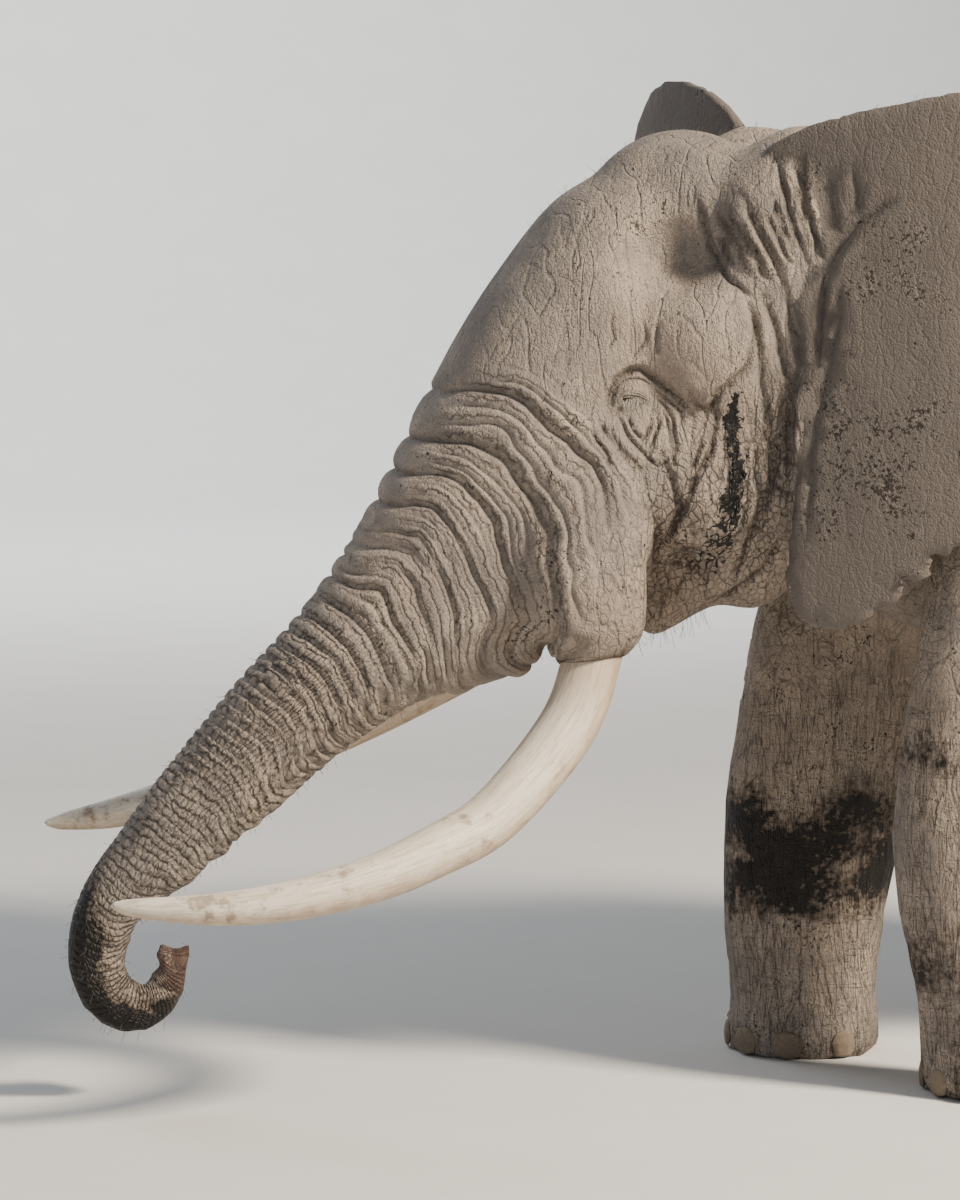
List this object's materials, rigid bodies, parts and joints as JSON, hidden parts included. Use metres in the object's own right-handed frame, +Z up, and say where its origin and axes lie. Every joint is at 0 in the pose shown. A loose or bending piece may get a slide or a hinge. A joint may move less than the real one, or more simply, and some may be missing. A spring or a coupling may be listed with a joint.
{
  "type": "elephant",
  "caption": "Standing savanna elephant bull with its head low, trunk reaching forward and down to the ground, long curved tusks, one ear spread and one laid back.",
  "frame": {"origin": "on the floor, at the middle of the model's box seen from above", "axes": "+Z up; the animal faces -X and its right side is towards +Y"},
  "size_m": [5.1452, 2.4198, 3.0916],
  "materials": {
    "hide": "dry, dusty, deeply wrinkled grey-brown skin",
    "ear_hide": "thinner, smoother dark grey skin",
    "ivory": "worn satin ivory with stains",
    "nail": "worn matte horn",
    "eye": "wet, dark amber brown",
    "hair": "coarse black hair"
  },
  "bodies": {
    "root": {"belly": "hide", "ear_left": "ear_hide", "ear_right": "ear_hide", "eye_left": "eye", "eye_right": "eye", "fore_foot_left": "hide", "fore_foot_right": "hide", "fore_leg_left": "hide", "fore_leg_right": "hide", "head": "hide", "hind_foot_left": "hide", "hind_foot_right": "hide", "hind_leg_left": "hide", "hind_leg_right": "hide", "hindquarters": "hide", "lower_jaw": "hide", "nail_fore_left_1": "nail", "nail_fore_left_2": "nail", "nail_fore_left_3": "nail", "nail_fore_left_4": "nail", "nail_fore_right_1": "nail", "nail_fore_right_2": "nail", "nail_fore_right_3": "nail", "nail_fore_right_4": "nail", "nail_hind_left_1": "nail", "nail_hind_left_2": "nail", "nail_hind_left_3": "nail", "nail_hind_right_1": "nail", "nail_hind_right_2": "nail", "nail_hind_right_3": "nail", "neck": "hide", "shoulders": "hide", "tail": "hide", "tail_tuft": "hair", "trunk_base": "hide", "trunk_lower": "hide", "trunk_middle": "hide", "trunk_tip": "hide", "trunk_upper": "hide", "tusk_left": "ivory", "tusk_right": "ivory"}
  },
  "joints": []
}
